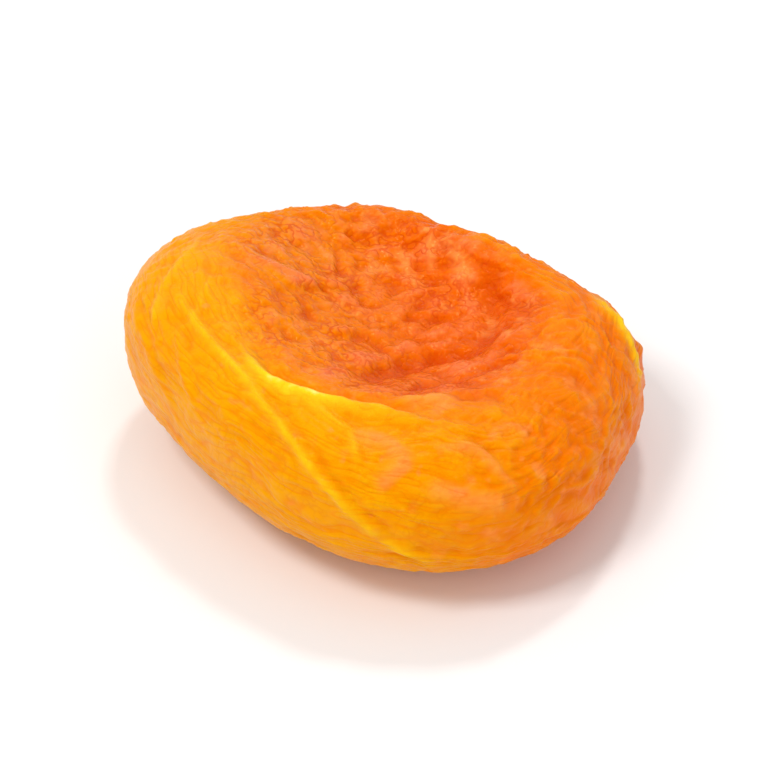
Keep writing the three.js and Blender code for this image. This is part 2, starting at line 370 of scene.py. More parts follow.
@dataclass(frozen=True)
class Fold:
    """A pinched fold of skin along a path. A negative ridge is a furrow.

    Attributes:
        path: points as azimuth and colatitude.
        width: half the width of the ridge.
        ridge: height of the ridge on the path.
        groove: depth of the dip on the left of the path.
        uneven: share by which the fold's height comes and goes along it.
        pale: strength of the highlight painted along the ridge, from 0 to 1.
        painted_reflection: whether the ridge carries a painted salmon reflection.
        pieces: straight pieces of the line from each given point to the next.
        fade: share of the line over which the height comes in at each end.
        groove_place: how far the dip lies from the path, in widths.
        reach: how far beyond the line's box the fold is worked out, in widths.
        swing, swing_seed: size and seed of the noise that makes the height uneven.
    """

    path: Path
    width: float
    ridge: float
    groove: float
    uneven: float = 0.3
    pale: float = 0.0
    painted_reflection: bool = False
    pieces: ClassVar[int] = 5
    fade: ClassVar[float] = 0.22
    groove_place: ClassVar[float] = 1.7
    reach: ClassVar[float] = 4.0
    swing: ClassVar[float] = 2.2
    swing_seed: ClassVar[int] = 50

    def line(self, surface: Callable[[Array], Array]) -> Array:
        """Lays a Catmull-Rom curve through the path on a surface.

        Args:
            surface: maps directions to points.

        Returns:
            The curve's points.
        """
        given = np.array(self.path)
        ends = np.vstack([2 * given[0] - given[1], given, 2 * given[-1] - given[-2]])
        share = np.linspace(0.0, 1.0, self.pieces, endpoint=False)[:, None]
        spans = [catmull_rom(*ends[i:i + 4], share) for i in range(len(given) - 1)]
        curve = np.vstack(spans + [given[-1:]])
        return surface(direction(curve[:, 0], curve[:, 1]))

    def height(self, points: Array, normals: Array, surface: Callable[[Array], Array]) -> Array:
        """The height that the fold adds at points of a surface.

        With s the signed distance from the path over the width, that is ridge · exp(-s²), less
        groove · exp(-(s - groove_place)²), faded in over a share of the path at each end.

        Args:
            points: places on the surface.
            normals: outward unit normals there.
            surface: maps directions to points.

        Returns:
            One height for each point.
        """
        line = self.line(surface)
        reach = self.reach * self.width
        inside = (points > line.min(0) - reach) & (points < line.max(0) + reach)
        rows = np.flatnonzero(np.all(inside, axis=1))
        near, facing = points[rows], normals[rows]
        nearest, side, share = np.full(len(rows), np.inf), np.zeros(len(rows)), np.zeros(len(rows))
        for step, (start, end) in enumerate(zip(line[:-1], line[1:])):
            along = end - start
            t = np.clip((near - start) @ along / (along @ along), 0.0, 1.0)
            offset = near - start - t[:, None] * along
            gap = np.linalg.norm(offset, axis=1)
            better = gap < nearest
            nearest[better] = gap[better]
            side[better] = np.sign(np.sum(np.cross(along, offset[better]) * facing[better], axis=1))
            share[better] = (step + t[better]) / (len(line) - 1)
        taper = smooth_step(share, 0.0, self.fade) * (1.0 - smooth_step(share, 1.0 - self.fade, 1.0))
        swing = 1.0 + self.uneven * noise(near / self.swing, self.swing_seed)
        place = nearest / self.width
        ridge = self.ridge * np.exp(-(place**2))
        groove = self.groove * np.exp(-((side * place - self.groove_place) ** 2))
        height = np.zeros(len(points))
        height[rows] = taper * swing * (ridge - groove)
        return height


@dataclass(frozen=True)
class Scar:
    """The puckered stem end on the rim: a dimple in a wrinkled collar on a low swelling.

    Attributes:
        azimuth, colatitude: where its middle lies.
        stretch: how many times longer it is along the rim than across it.
        dimple_radius, dimple_depth: of the dimple. The collar's ridge is as wide.
        collar_radius, collar_height: of the collar.
        puckers: waves of the collar's height round it.
        swelling_radius, swelling_height: of the swelling.
        reach: how far out the dimple and the collar are worked out, in radii of the swelling.
    """

    azimuth: float = 19.0
    colatitude: float = 75.0
    stretch: float = 1.45
    dimple_radius: float = 1.0
    dimple_depth: float = 0.7
    collar_radius: float = 2.0
    collar_height: float = 0.15
    puckers: tuple[Lobe, ...] = (Lobe(7, 0.45, -1.0), Lobe(4, 0.30, 0.0))
    swelling_radius: float = 3.4
    swelling_height: float = 0.45
    reach: float = 2.0

    def relief(self, points: Array, body: Body) -> tuple[Array, Array]:
        """The scar's shape: the swelling and the collar, less the dimple.

        Args:
            points: places on the body.
            body: the fruit's smooth body.

        Returns:
            The height that the scar adds at each point, and a mask from 0 to 1 in the dimple.
        """
        middle = direction(np.array([self.azimuth]), np.array([self.colatitude]))
        normal = body.normals(middle)[0]
        along = unit(np.cross([0.0, 0.0, 1.0], normal)[None])[0]
        offset = points - body.surface(middle)[0]
        x, y = offset @ along / self.stretch, offset @ np.cross(normal, along)
        radius = np.hypot(x, y)
        gap = np.linalg.norm(offset, axis=1)
        near = gap < self.reach * self.swelling_radius
        ridge = np.exp(-(((radius - self.collar_radius) / self.dimple_radius) ** 2))
        collar = self.collar_height * ridge * waved(np.arctan2(y, x), self.puckers)
        dimple = np.where(near, np.exp(-((radius / self.dimple_radius) ** 2)), 0.0)
        swelling = self.swelling_height * np.exp(-((gap / self.swelling_radius) ** 2))
        return swelling + np.where(near, collar, 0.0) - self.dimple_depth * dimple, dimple


@dataclass(frozen=True)
class Warp:
    """Three noises that pull patterns about, each with its own seed and its own shift."""

    size: float
    seeds: tuple[int, int, int]
    shifts: ClassVar[tuple[float, float, float]] = (11.0, 23.0, 37.0)

    def at(self, points: Array) -> Array:
        """The three noises at each point."""
        pairs = zip(self.shifts, self.seeds)
        return np.stack([noise(points / self.size + shift, seed) for shift, seed in pairs], axis=1)


@dataclass(frozen=True)
class Ground:
    """What the skin's relief is built on, with one row for each direction.

    Attributes:
        points, normals: of the smooth body.
        azimuth, colatitude: of the direction, in degrees.
        hollow, wall: masks that add up to 1.
        left, right: masks of the wall's golden left side and of its plainer right side.
        broad, tight: three broad and three fine noises.
    """

    points: Array
    normals: Array
    azimuth: Array
    colatitude: Array
    hollow: Array
    wall: Array
    left: Array
    right: Array
    broad: Array
    tight: Array

    def circle(self, radius: float, place: Array) -> Array:
        """Places on a tube round the fruit, which a noise reads without a seam."""
        turn = np.radians(self.azimuth)
        return np.stack([radius * np.cos(turn), radius * np.sin(turn), place], axis=1)


@dataclass(frozen=True)
class Layer:
    """One layer of swells or wrinkles.

    Attributes:
        size, height: of one wrinkle.
        seed: picks the noise.
        wall: share of the height that is left on the wall. The hollow has all of it.
        shift: moves the pattern, in wrinkles.
        ruffle: how far the finer noise pulls it about.
        sharp: 1 for sharp valleys between round swellings, -1 for sharp ridges between round valleys.
    """

    size: float
    height: float
    seed: int
    wall: float
    shift: float
    ruffle: float = 0.0
    sharp: float = 1.0

    def share(self, ground: Ground) -> Array:
        """The height at each place, before the pattern."""
        return self.height * (self.wall * ground.wall + ground.hollow)


@dataclass(frozen=True)
class Rings:
    """Long wrinkles round the wall: sharp ridges along lines of equal colatitude, bent by a noise.

    Attributes:
        turns: how soon a wrinkle comes and goes along its length.
        step: degrees of colatitude from one to the next.
        height: of one wrinkle.
        seed: picks the noise.
        bend: how far they are bent, in steps.
        level, sharpness: share of the height on the crest, and its fall with the size of the noise.
    """

    turns: float
    step: float
    height: float
    seed: int
    bend: float
    level: ClassVar[float] = 0.5
    sharpness: ClassVar[float] = 1.6

    def relief(self, ground: Ground, bend: Array) -> Array:
        """The height of the wrinkles, bent by a noise with one value for each place."""
        spot = ground.circle(self.turns, ground.colatitude / self.step + self.bend * bend)
        return self.height * (self.level - self.sharpness * np.abs(noise(spot, self.seed)))


@dataclass(frozen=True)
class Relief:
    """The finished skin: its points, the places that its long strands are read at, and masks by name."""

    points: Array
    strands: Array
    masks: dict[str, Array]


@dataclass
class Skin:
    """The relief of the skin over the body.

    Attributes:
        swells, crumples: broad swells, and the crumpled skin from coarse to fine.
        rings, rim_lines: long wrinkles of the wall, and those that run over the far rim.
        folds, scar: single forms that are placed one by one.
        broad, tight: noises that bend the patterns.
        crumple_warp, ring_warp: how far the broad noise moves the crumples, and the fine one the rings.
        hollow_edge: shares of the hollow's depth between which wall turns into hollow.
        golden_side, plain_side, plain_edge: azimuths of both sides, and the cosines between which the
            plainer one comes in.
        golden_crumples: share of the crumples' height that is lost on the golden side.
        golden_lines, plain_lines: share of the rings' height that is lost on each side.
        hollow_lines: share of the rings' height in the hollow. The wall has it on top of the whole.
        far_side, far_start, far_end: where the rim lines come in by the sine of the azimuth, and between
            which colatitudes they come in and go out.
        lip_bright, lip_span, lip_rest: azimuth of the lip's brightest painted highlight, its length, and the
            share of that painted highlight elsewhere.
        line_weight, fold_weight, full: how much long wrinkles and folds count for the creased mask, and the
            height at which a mask is full.
        strand_turns, strand_step, strand_bend: as the rings have them, for the strands of the material.
    """

    swells: tuple[Layer, ...] = (Layer(11.0, 0.50, 40, 0.5, 3.0), Layer(5.5, 0.25, 41, 0.5, 9.0))
    crumples: tuple[Layer, ...] = (
        Layer(3.4, 0.26, 10, 0.30, 0.0),
        Layer(1.9, 0.16, 11, 0.95, 5.3, 0.6, -1.0),
        Layer(1.05, 0.11, 12, 0.95, 10.6, 0.45, -1.0),
    )
    rings: tuple[Rings, ...] = (
        Rings(3.0, 8.0, 0.15, 20, 0.9),
        Rings(6.0, 4.2, 0.10, 21, 1.2),
        Rings(11.0, 2.3, 0.06, 24, 1.6),
    )
    rim_lines: Rings = Rings(12.0, 26.0, 0.16, 22, 0.6)
    folds: dict[str, Fold] = field(default_factory=lambda: {
        LIP: Fold(
            ((-148, 49.5), (-141, 51.2), (-134.5, 52.8), (-129, 52.2), (-121, 50), (-110.5, 47.4),
             (-101, 46.2), (-91, 46.3), (-81, 47)), 0.72, 0.80, 0.45, pale=1.0),
        "seam": Fold(
            ((-178, 53), (-170, 53.8), (-159.5, 54.8), (-146.5, 56), (-134.5, 58.4), (-123, 63.6),
             (-116.5, 69.2), (-109.5, 77.2), (-103, 84.6), (-97, 89), (-90, 93), (-84, 101.9), (-79, 111)),
            0.42, 0.34, 0.20, 0.45, pale=0.4),
        "pleat beside the seam": Fold(
            ((-119, 51.5), (-114.3, 52.6), (-109.2, 53.6), (-104.7, 55.9), (-102.3, 62.1), (-101, 68)),
            0.40, 0.26, 0.15, pale=0.26),
        "upper line of the left wall": Fold(
            ((-165, 59), (-158.7, 66.5), (-154.2, 72.3), (-149.7, 77.4), (-143, 85)), 0.38, 0.20, 0.10),
        "lower line of the left wall": Fold(
            ((175, 70), (184, 74), (194, 80), (202, 87), (210, 94)), 0.45, 0.16, 0.10),
        "crease across the hollow": Fold(
            ((-121, 38), (-113, 33), (-103, 25), (-86, 17.5), (-73, 15.8), (-56, 17.5), (-38, 18.8),
             (-17, 19.2), (1, 18.2), (13, 18.2), (27, 21.5), (37, 28), (45, 34)), 1.0, -0.55, -0.25),
        "crease under the lip": Fold(
            ((-100, 36), (-82, 29), (-62, 27), (-45, 29), (-30, 33)), 0.70, -0.28, -0.10),
        "crease on the right slope": Fold(
            ((66, 34), (58, 31.5), (50, 29), (42, 28.3), (33, 30)), 0.45, -0.18, -0.10),
        "crease across the middle": Fold(
            ((-100, 7), (-80, 5.8), (-58, 6.3), (-38, 7.8), (-22, 9.5), (-12, 12)), 0.42, -0.30, -0.15),
        "crease below the middle": Fold(
            ((-92, 10.5), (-78, 10), (-66, 11), (-52, 11.7), (-40, 13)), 0.36, -0.24, -0.12),
        "crease left of the middle": Fold(
            ((-166, 26), (-169, 21.6), (-171, 17), (-175, 12.5), (-173, 8)), 0.42, -0.24, -0.12),
        "pit near the lip": Fold(
            ((-136, 24), (-129, 20), (-121, 16), (-112, 14.5), (-104, 16), (-97, 15)), 0.55, -0.34, -0.20),
        "long pleat of the far slope": Fold(
            ((86, 27), (82, 20), (77, 13), (62, 7), (30, 4)), 0.55, 0.17, 0.10, painted_reflection=True),
        "short pleat of the far slope": Fold(
            ((73, 38), (71, 32.6), (67.5, 26), (64.5, 20.8), (60, 15)), 0.50, 0.15, 0.08, painted_reflection=True),
        "right pleat of the far slope": Fold(
            ((63, 36), (58, 30), (51, 25), (42, 20), (30, 16)), 0.80, 0.10, 0.0, painted_reflection=True),
        "left pleat of the far slope": Fold(
            ((108, 33), (110, 27), (112, 21), (114, 15)), 0.50, 0.22, 0.15),
        "patch outside the lip": Fold(
            ((-93, 39.5), (-86, 37.6), (-79, 36.8), (-71, 37.5)), 0.75, 0.26, 0.12, painted_reflection=True),
        "fold on the right shoulder": Fold(
            ((-42, 26), (-36, 30), (-30, 34), (-24, 38), (-15, 44)), 0.60, 0.30, 0.20),
        "fold on the near wall": Fold(
            ((-81, 56), (-77, 54.8), (-73.5, 55.3), (-71, 57.5), (-69, 62.6), (-66.3, 68.8), (-64, 73)),
            0.50, 0.26, 0.16, painted_reflection=True),
        "line down the right shoulder": Fold(
            ((-53, 49), (-47, 53.8), (-41.7, 59.3), (-34.2, 64.9), (-25.2, 70.4)), 0.40, 0.12, 0.08),
        "second line down the shoulder": Fold(
            ((-59, 59), (-53, 63), (-46, 67.8), (-37.5, 73.5), (-28, 77)), 0.40, 0.12, 0.08),
        "curl on the near wall": Fold(
            ((-69, 55), (-66, 51.5), (-62, 49.8), (-58.5, 50.8), (-56.4, 53.5), (-58, 57)),
            0.42, 0.16, 0.10, painted_reflection=True),
        "upper patch of the near wall": Fold(
            ((-105, 56.5), (-101, 55.3), (-96.5, 55), (-92.4, 57.5), (-87.5, 62)),
            0.65, 0.18, 0.08, painted_reflection=True),
        "lower patch of the near wall": Fold(
            ((-88.5, 61), (-91.8, 64.5), (-93.9, 68.5), (-97.5, 75)), 0.65, 0.15, 0.08, painted_reflection=True),
        "pale band of the near wall": Fold(
            ((-87, 69), (-81.5, 70.7), (-77, 73.2), (-71.4, 75.3), (-64, 76)),
            0.80, 0.12, 0.05, painted_reflection=True),
        "pale ridge on the right edge": Fold(
            ((26.7, 61.8), (20.1, 57.6), (15.6, 56.5), (13.8, 59.2), (12.9, 62.6), (9.9, 64.5), (8, 68),
             (6, 73), (3, 77), (-1, 79), (-5, 83)), 0.55, 0.24, 0.10, pale=0.65),
        "outer streak of the left rim": Fold(
            ((191.4, 70.4), (185.4, 61.6), (176.7, 52), (163.9, 44.6)), 0.36, 0.15, 0.08, pale=0.2),
        "inner streak of the left rim": Fold(
            ((200.1, 57.6), (192.6, 48.7), (185, 40)), 0.36, 0.13, 0.08, pale=0.15),
    })
    scar: Scar = Scar()
    broad: Warp = Warp(7.0, (1, 2, 3))
    tight: Warp = Warp(2.6, (4, 5, 6))
    crumple_warp: float = 1.6
    ring_warp: float = 0.25
    hollow_edge: Span = (0.02, 0.60)
    golden_side: float = 200.0
    plain_side: float = 10.0
    plain_edge: Span = (0.3, 0.95)
    golden_crumples: float = 0.65
    golden_lines: float = 0.30
    plain_lines: float = 0.40
    hollow_lines: float = 0.15
    far_side: Span = (0.2, 0.8)
    far_start: Span = (22.0, 45.0)
    far_end: Span = (62.0, 88.0)
    lip_bright: float = -124.0
    lip_span: float = 17.0
    lip_rest: float = 0.35
    line_weight: float = 0.7
    fold_weight: float = 0.6
    full: float = 0.30
    strand_turns: float = 5.0
    strand_step: float = 3.2
    strand_bend: Span = (5.0, 1.2)

    def ground(self, directions: Array, body: Body) -> Ground:
        """Works out what the relief is built on.

        The left mask is (1 + cos) / 2 of the angle from the golden side, and the right one a smooth step of
        the cosine of the angle from the plain side, both on the wall only.

        Args:
            directions: unit vectors.
            body: the smooth body under the skin.

        Returns:
            The ground of the relief.
        """
        points = body.surface(directions)
        azimuth, colatitude = angles(directions)
        hollow = smooth_step(body.sunk_share(directions), *self.hollow_edge)
        left = 0.5 + 0.5 * np.cos(np.radians(azimuth - self.golden_side))
        right = smooth_step(np.cos(np.radians(azimuth - self.plain_side)), *self.plain_edge)
        return Ground(
            points=points,
            normals=body.normals(directions),
            azimuth=azimuth,
            colatitude=colatitude,
            hollow=hollow,
            wall=1.0 - hollow,
            left=left * (1.0 - hollow),
            right=right * (1.0 - hollow),
            broad=self.broad.at(points),
            tight=self.tight.at(points),
        )

    def swelling(self, ground: Ground) -> Array:
        """Height of the broad swells."""
        return sum(s.share(ground) * noise(ground.points / s.size + s.shift, s.seed) for s in self.swells)

    def crumpling(self, ground: Ground) -> Array:
        """Adds up the layers of crumpled skin: creased noise at places that both warps bend.

        Args:
            ground: what the relief is built on.

        Returns:
            A height for each place.
        """
        bent = ground.points + self.crumple_warp * ground.broad
        total = np.zeros(len(bent))
        for layer in self.crumples:
            place = (bent + layer.ruffle * ground.tight) / layer.size + layer.shift
            total += layer.share(ground) * layer.sharp * creased(place, layer.seed)
        return total * (1.0 - self.golden_crumples * ground.left)

    def lining(self, ground: Ground) -> Array:
        """Adds up the long wrinkles: the rings of the wall, and the lines over the far rim.

        Args:
            ground: what the relief is built on.

        Returns:
            A height for each place.
        """
        kept = 1.0 - self.plain_lines * ground.right - self.golden_lines * ground.left
        bend = ground.broad[:, 0] + self.ring_warp * ground.tight[:, 1]
        rings = sum(ring.relief(ground, bend) for ring in self.rings)
        far = smooth_step(np.sin(np.radians(ground.azimuth)), *self.far_side)
        far = far * smooth_step(ground.colatitude, *self.far_start)
        far = far * (1.0 - smooth_step(ground.colatitude, *self.far_end))
        rim_lines = self.rim_lines.relief(ground, ground.broad[:, 2])
        return kept * (self.hollow_lines + ground.wall) * rings + far * rim_lines

    def highlighted(self, ground: Ground, folds: dict[str, Array]) -> Array:
        """Adds up the painted highlights on ridges: a fold's height over its ridge, times the strength of its
        painted highlight.

        Args:
            ground: what the relief is built on.
            folds: the folds' heights by name.

        Returns:
            A mask from 0 to 1.
        """
        # Painted highlights along the folds, brightest on the lip of the hollow around lip_bright
        pale = {name: f.pale * folds[name] / f.ridge for name, f in self.folds.items() if f.pale}
        peak = np.exp(-(((ground.azimuth - self.lip_bright) / self.lip_span) ** 2))
        pale[LIP] = pale[LIP] * (self.lip_rest + (1.0 - self.lip_rest) * peak)
        return np.clip(sum(pale.values()), 0.0, 1.0)

    def relief(self, directions: Array, body: Body) -> Relief:
        """Works out the relief and the masks that the material reads.

        Args:
            directions: unit vectors.
            body: the smooth body under the skin.

        Returns:
            The points of the finished skin, the places of its strands, and masks from 0 to 1.
        """
        ground = self.ground(directions, body)
        crumples, lines = self.crumpling(ground), self.lining(ground)
        place = (ground.points, ground.normals, body.surface)
        folds = {name: fold.height(*place) for name, fold in self.folds.items()}
        folded = sum(folds.values())
        scar, dimple = self.scar.relief(ground.points, body)
        height = self.swelling(ground) + crumples + lines + folded + scar
        points = ground.points + ground.normals * height[:, None]
        points[:, 2] = np.maximum(points[:, 2], 0.0)
        fine = crumples + self.line_weight * lines
        # Ridges whose salmon colour in the material is a painted reflection
        painted_reflection = sum(folds[name] / fold.ridge for name, fold in self.folds.items() if fold.painted_reflection)
        slow, quick = self.strand_bend
        lean = ground.colatitude + slow * ground.broad[:, 0] + quick * ground.tight[:, 1]
        # Masks for the material: the creased one carries painted shade, the raised one and the folds' ones
        # carry painted highlights and painted reflections
        masks = {
            "hollow": ground.hollow,
            "golden": ground.left,
            "highlighted": self.highlighted(ground, folds),
            "creased": np.clip(-(fine + self.fold_weight * folded) / self.full, 0.0, 1.0),
            "raised": np.clip((fine + folded * ground.hollow) / self.full, 0.0, 1.0),
            "painted_reflection": np.clip(painted_reflection, 0.0, 1.0),
            "scar": dimple,
        }
        return Relief(points, ground.circle(self.strand_turns, lean / self.strand_step), masks)


# The material


def linear(colour: Colour) -> tuple[float, float, float, float]:
    """Turns a colour as seen on a screen into light, by the screen's tone curve.

    Args:
        colour: red, green and blue from 0 to 255.

    Returns:
        Linear red, green and blue from 0 to 1, and full cover.
    """
    screen = np.array(colour) / 255.0
    curved = ((screen + CURVE_SHIFT) / (1.0 + CURVE_SHIFT)) ** CURVE_POWER
    light = np.where(screen <= STRAIGHT_END, screen / STRAIGHT_SLOPE, curved)
    return (*light.tolist(), 1.0)


class Expression:
    """A node socket that can be worked with as a number: each operator adds a Math node."""

    def __init__(self, shader: "Shader", socket: bpy.types.NodeSocket) -> None:
        """Wraps one output socket of a shader's node."""
        self.shader = shader
        self.socket = socket

    def _math(self, operation: str, *values: Any, clamp: bool = False) -> "Expression":
        """One Math node on these values, in order."""
        settings = {"operation": operation, "use_clamp": clamp}
        return self.shader.add("ShaderNodeMath", settings, dict(enumerate(values)))

    def __add__(self, other: Any) -> "Expression":
        """Sum."""
        return self._math("ADD", self, other)

    def __radd__(self, other: Any) -> "Expression":
        """Sum, with a plain number first."""
        return self._math("ADD", other, self)

    def __sub__(self, other: Any) -> "Expression":
        """Difference."""
        return self._math("SUBTRACT", self, other)

    def __rsub__(self, other: Any) -> "Expression":
        """Difference from a plain number."""
        return self._math("SUBTRACT", other, self)

    def __mul__(self, other: Any) -> "Expression":
        """Product."""
        return self._math("MULTIPLY", self, other)

    def __rmul__(self, other: Any) -> "Expression":
        """Product, with a plain number first."""
        return self._math("MULTIPLY", other, self)

    def __abs__(self) -> "Expression":
        """Size without its sign."""
        return self._math("ABSOLUTE", self)

    def clamped(self) -> "Expression":
        """Held between 0 and 1."""
        return self._math("ADD", self, 0.0, clamp=True)

    def above(self, share: float) -> "Expression":
        """The share where this is 0, rising to 1 where it is 1."""
        return share + (1.0 - share) * self

    def between(self, low: float, high: float) -> "Expression":
        """Turns a range into a smooth step.

        Args:
            low: where the step is 0.
            high: where it is 1.

        Returns:
            The step's value.
        """
        settings = {"interpolation_type": "SMOOTHSTEP"}
        inputs = {"Value": self, "From Min": low, "From Max": high}
        return self.shader.add("ShaderNodeMapRange", settings, inputs, "Result")


@dataclass(frozen=True)
class Pattern:
    """One noise of the material.

    Attributes:
        size: of its swells.
        detail: how many finer noises lie over it.
        roughness: how strong each of those is next to the one before.
    """

    size: float
    detail: float
    roughness: ClassVar[float] = 0.55


class Shader:
    """Builds one material's nodes."""

    def __init__(self, name: str) -> None:
        """Starts a material without nodes."""
        self.material = bpy.data.materials.new(name)
        self.material.use_nodes = True
        self.tree = self.material.node_tree
        self.tree.nodes.clear()

    def add(self, kind: str, settings: dict[str, Any], inputs: dict[Any, Any], output: Any = 0) -> Expression:
        """Adds one node.

        Args:
            kind: the node's type.
            settings: its properties, set before its sockets.
            inputs: values or expressions by socket name or number.
            output: the wanted output's name or number.

        Returns:
            The output, as an expression.
        """
        node = self.tree.nodes.new(kind)
        for name, value in settings.items():
            setattr(node, name, value)
        for name, value in inputs.items():
            if isinstance(value, Expression):
                self.tree.links.new(value.socket, node.inputs[name])
            else:
                node.inputs[name].default_value = value
        return Expression(self, node.outputs[output])

    def attribute(self, name: str, output: str = "Fac") -> Expression:
        """A value stored on the mesh."""
        return self.add("ShaderNodeAttribute", {"attribute_name": name}, {}, output)

    def mixed(self, share: Expression, first: Any, second: Any) -> Expression:
        """Mixes two colours.

        Args:
            share: of the second colour. It is held between 0 and 1.
            first: the colour where the share is 0.
            second: the colour where it is 1.

        Returns:
            The mixed colour.
        """
        settings = {"data_type": "RGBA", "clamp_factor": True}
        inputs = {MIX_SHARE: share, MIX_FIRST: first, MIX_SECOND: second}
        return self.add("ShaderNodeMix", settings, inputs, MIX_COLOUR)

    def noise(self, place: Expression, pattern: Pattern, measure: float = MM) -> Expression:
        """Blender's noise.

        Args:
            place: where it is read.
            pattern: its size and detail.
            measure: what the size is counted in, in metres where the place is one on the fruit.

        Returns:
            Values from 0 to 1, about a half.
        """
        inputs = {
            "Vector": place,
            "Scale": 1.0 / (pattern.size * measure),
            "Detail": pattern.detail,
            "Roughness": pattern.roughness,
        }
        return self.add("ShaderNodeTexNoise", {}, inputs, "Fac")

    def finished(self, surface: Expression) -> bpy.types.Material:
        """Links the material's output.

        Args:
            surface: the shader that it shows.

        Returns:
            The finished material.
        """
        output = self.tree.nodes.new("ShaderNodeOutputMaterial")
        self.tree.links.new(surface.socket, output.inputs["Surface"])
        return self.material


@dataclass(frozen=True)
class Marks:
    """The masks and noises that colour, gloss and bump share.

    Attributes:
        place: where a spot lies on the fruit.
        cloud, fleck: broad and fine noise, about 0.
        golden, hollow: masks with their edges broken up.
        wall: the rest of the hollow's mask.
        creased, raised, stretched: masks as the mesh has them.
        strands, wrinkles: 0 in the valleys of the wall's long strands and of the fine wrinkles.
    """

    place: Expression
    cloud: Expression
    fleck: Expression
    golden: Expression
    hollow: Expression
    wall: Expression
    creased: Expression
    raised: Expression
    highlighted: Expression
    strands: Expression
    wrinkles: Expression


@dataclass(frozen=True)
class FleshFinish:
    """The leathery skin with the flesh showing through it. Colours are as seen on a screen, 0 to 255.

    Attributes:
        golden, orange: the wall, on its left side and elsewhere.
        amber, deep: the hollow, on its left and on its right.
        crease, line: painted shade in creases, where the flesh is also a deeper red, and in the valleys of
            fine wrinkles; painted shade in the valleys of the wall's long strands.
        pale, glint: painted highlights on raised ridges and along folds, and the brightest painted glints on
            them.
        blush, salmon: painted highlights on the hollow's swellings, and painted reflections, salmon in tint,
            on ridges and patches.
        scar, sheen: the stem end's dimple, and the tint of the reflection.
        roughness, wall_rough, fleck_rough, crease_rough: in the hollow, and what is added by each mark.
        glow, depth_of_glow, glow_reach: share of light that goes through the flesh, how far in metres, and
            the shares of that for red, green and blue.
        gloss: strength of the reflection.
        clouds to grain: the noises, with sizes in millimetres, and the strands' in their own measure.
        golden_cloud, hollow_cloud, hollow_fleck: how far the noises move a mask's edge.
        golden_edge to glint_edge: values between which a mask or a noise comes in; across_edge in
            millimetres from left to right.
        across_cloud: how far the broad noise moves that edge, in millimetres.
        strand_width, wrinkle_width: how much of a valley gets painted shade.
        swell_highlight_raised, swell_highlight_fleck, swell_highlight_start: weights of swelling and noise
        for the painted highlights on swellings, and where they begin.
        golden_patch: share of the patches that is lost on the golden side.
        ridge_fleck, pale_fleck: how far the fine noise breaks up the painted reflections and the painted
            highlights on ridges.
        ridge_share to scar_share: how strong each colour is laid on.
        crease_wall, wrinkle_wall, bump_wall: shares of their strength that the painted shade of creases and
            of wrinkle valleys, and the raised wrinkles of the bump, keep on the wall.
        strand_bump, grain_bump, bump: heights of strands and grain next to a wrinkle's, and the height of
            that in millimetres.
    """

    golden: Colour = (242, 158, 0)
    orange: Colour = (239, 119, 0)
    amber: Colour = (243, 135, 4)
    deep: Colour = (234, 100, 2)
    crease: Colour = (208, 62, 4)
    line: Colour = (238, 108, 0)
    pale: Colour = (255, 222, 34)
    glint: Colour = (255, 240, 140)
    swell_highlight: Colour = (247, 126, 68)
    painted_reflection: Colour = (252, 146, 66)
    scar: Colour = (196, 110, 30)
    sheen: Colour = (255, 164, 30)
    roughness: float = 0.20
    wall_rough: float = 0.16
    fleck_rough: float = 0.14
    crease_rough: float = 0.10
    glow: float = 0.2
    depth_of_glow: float = 0.0018
    glow_reach: tuple[float, float, float] = (1.0, 0.35, 0.08)
    gloss: float = 0.20
    clouds: Pattern = Pattern(6.0, 3.0)
    flecks: Pattern = Pattern(1.6, 2.0)
    patches: Pattern = Pattern(2.4, 2.5)
    specks: Pattern = Pattern(1.1, 1.0)
    strands: Pattern = Pattern(1.0, 1.0)
    wrinkles: Pattern = Pattern(1.0, 1.5)
    grain: Pattern = Pattern(0.25, 2.0)
    golden_cloud: float = 0.6
    hollow_cloud: float = 0.5
    hollow_fleck: float = 0.4
    golden_edge: Span = (0.22, 0.86)
    hollow_edge: Span = (0.10, 0.85)
    across_edge: Span = (-9.0, 5.0)
    across_cloud: float = 4.0
    patch_edge: Span = (0.57, 0.70)
    speck_edge: Span = (0.66, 0.78)
    wrinkle_edge: Span = (-0.15, 0.15)
    glint_edge: Span = (0.80, 1.15)
    strand_width: float = 0.14
    wrinkle_width: float = 0.16
    swell_highlight_raised: float = 0.75
    swell_highlight_fleck: float = 1.4
    swell_highlight_start: float = 0.02
    golden_patch: float = 0.8
    ridge_fleck: float = 2.0
    pale_fleck: float = 1.2
    ridge_share: float = 0.75
    patch_share: float = 0.72
    speck_share: float = 0.45
    crease_share: float = 0.65
    wrinkle_share: float = 0.6
    strand_share: float = 0.32
    raised_share: float = 0.20
    ridge_highlight_share: float = 0.85
    glint_share: float = 0.8
    scar_share: float = 0.7
    crease_wall: float = 0.5
    wrinkle_wall: float = 0.25
    bump_wall: float = 0.35
    strand_bump: float = 0.7
    grain_bump: float = 0.12
    bump: float = 0.22

    def marks(self, shader: Shader) -> Marks:
        """Reads the masks on the mesh, and adds the noises that break them up.

        Args:
            shader: holds the nodes.

        Returns:
            The marks that the other methods share.
        """
        place = shader.add("ShaderNodeTexCoord", {}, {}, "Object")
        cloud = shader.noise(place, self.clouds) - 0.5
        fleck = shader.noise(place, self.flecks) - 0.5
        golden = shader.attribute("golden") + self.golden_cloud * cloud
        hollow = shader.attribute("hollow") + self.hollow_cloud * cloud + self.hollow_fleck * fleck
        hollow = hollow.between(*self.hollow_edge)
        strands = shader.noise(shader.attribute("flow", "Vector"), self.strands, 1.0)
        return Marks(
            place=place,
            cloud=cloud,
            fleck=fleck,
            golden=golden.between(*self.golden_edge),
            hollow=hollow,
            wall=1.0 - hollow,
            creased=shader.attribute("creased"),
            raised=shader.attribute("raised"),
            highlighted=shader.attribute("highlighted"),
            strands=abs(2.0 * strands - 1.0),
            wrinkles=abs(2.0 * shader.noise(place, self.wrinkles) - 1.0),
        )

